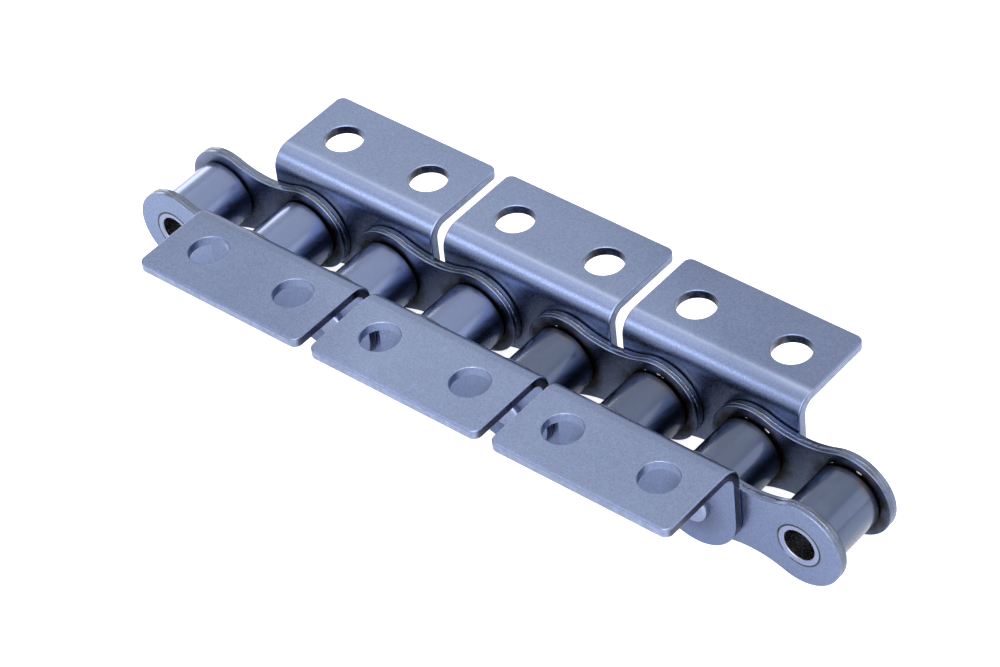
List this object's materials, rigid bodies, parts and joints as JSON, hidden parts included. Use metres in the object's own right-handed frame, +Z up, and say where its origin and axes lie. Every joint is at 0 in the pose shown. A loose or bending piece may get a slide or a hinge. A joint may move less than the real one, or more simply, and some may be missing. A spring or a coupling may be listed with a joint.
{
  "type": "attachment roller chain",
  "caption": "Length of roller chain whose outer link plates are bent outward on both sides into flanges with bolt holes.",
  "frame": {"origin": "under the middle of the outer link at mid length, in the middle of the chain's width, at the foot of the outer link plates", "axes": "+X along the straight chain, +Y across it along the pins towards the rear plates, +Z up towards the flanges"},
  "size_m": [0.1492, 0.0524, 0.0207],
  "materials": {
    "inner_plate": "satin blued",
    "attachment": "satin blued",
    "roller": "satin oiled",
    "bush": "satin oiled",
    "pin": "satin"
  },
  "bodies": {
    "outer_link_2": {"attachment_front_2": "attachment", "attachment_rear_2": "attachment", "pin_4": "pin", "pin_5": "pin"},
    "outer_link_1": {"attachment_front_1": "attachment", "attachment_rear_1": "attachment", "pin_2": "pin", "pin_3": "pin"},
    "outer_link_3": {"attachment_front_3": "attachment", "attachment_rear_3": "attachment", "pin_6": "pin", "pin_7": "pin"},
    "inner_link_1": {"inner_plate_front_1": "inner_plate", "inner_plate_rear_1": "inner_plate", "bush_1": "bush", "bush_2": "bush"},
    "inner_link_2": {"inner_plate_front_2": "inner_plate", "inner_plate_rear_2": "inner_plate", "bush_3": "bush", "bush_4": "bush"},
    "inner_link_3": {"inner_plate_front_3": "inner_plate", "inner_plate_rear_3": "inner_plate", "bush_5": "bush", "bush_6": "bush"},
    "inner_link_4": {"inner_plate_front_4": "inner_plate", "inner_plate_rear_4": "inner_plate", "bush_7": "bush", "bush_8": "bush"},
    "roller_body_1": {"roller_1": "roller"},
    "roller_body_2": {"roller_2": "roller"},
    "roller_body_3": {"roller_3": "roller"},
    "roller_body_4": {"roller_4": "roller"},
    "roller_body_5": {"roller_5": "roller"},
    "roller_body_6": {"roller_6": "roller"},
    "roller_body_7": {"roller_7": "roller"},
    "roller_body_8": {"roller_8": "roller"}
  },
  "joints": [
    {"name": "link_hinge_5", "type": "hinge", "parent": "outer_link_2", "child": "inner_link_3", "pos_m": [0.00953, 0, 0.00825], "axis": [0, 1, 0], "range_deg": [-5, 40]},
    {"name": "link_hinge_6", "type": "hinge", "parent": "inner_link_3", "child": "outer_link_3", "pos_m": [0.02857, 0, 0.00825], "axis": [0, 1, 0], "range_deg": [-5, 40]},
    {"name": "link_hinge_7", "type": "hinge", "parent": "outer_link_3", "child": "inner_link_4", "pos_m": [0.04763, 0, 0.00825], "axis": [0, 1, 0], "range_deg": [-40, 40]},
    {"name": "link_hinge_4", "type": "hinge", "parent": "outer_link_2", "child": "inner_link_2", "pos_m": [-0.00953, 0, 0.00825], "axis": [0, -1, 0], "range_deg": [-5, 40]},
    {"name": "link_hinge_3", "type": "hinge", "parent": "inner_link_2", "child": "outer_link_1", "pos_m": [-0.02857, 0, 0.00825], "axis": [0, -1, 0], "range_deg": [-5, 40]},
    {"name": "link_hinge_2", "type": "hinge", "parent": "outer_link_1", "child": "inner_link_1", "pos_m": [-0.04763, 0, 0.00825], "axis": [0, -1, 0], "range_deg": [-40, 40]},
    {"name": "roller_spin_1", "type": "hinge", "parent": "inner_link_1", "child": "roller_body_1", "pos_m": [-0.06667, 0, 0.00825], "axis": [0, 1, 0], "continuous": true},
    {"name": "roller_spin_2", "type": "hinge", "parent": "inner_link_1", "child": "roller_body_2", "pos_m": [-0.04763, 0, 0.00825], "axis": [0, 1, 0], "continuous": true},
    {"name": "roller_spin_3", "type": "hinge", "parent": "inner_link_2", "child": "roller_body_3", "pos_m": [-0.02857, 0, 0.00825], "axis": [0, 1, 0], "continuous": true},
    {"name": "roller_spin_4", "type": "hinge", "parent": "inner_link_2", "child": "roller_body_4", "pos_m": [-0.00953, 0, 0.00825], "axis": [0, 1, 0], "continuous": true},
    {"name": "roller_spin_5", "type": "hinge", "parent": "inner_link_3", "child": "roller_body_5", "pos_m": [0.00953, 0, 0.00825], "axis": [0, 1, 0], "continuous": true},
    {"name": "roller_spin_6", "type": "hinge", "parent": "inner_link_3", "child": "roller_body_6", "pos_m": [0.02857, 0, 0.00825], "axis": [0, 1, 0], "continuous": true},
    {"name": "roller_spin_7", "type": "hinge", "parent": "inner_link_4", "child": "roller_body_7", "pos_m": [0.04763, 0, 0.00825], "axis": [0, 1, 0], "continuous": true},
    {"name": "roller_spin_8", "type": "hinge", "parent": "inner_link_4", "child": "roller_body_8", "pos_m": [0.06667, 0, 0.00825], "axis": [0, 1, 0], "continuous": true}
  ]
}
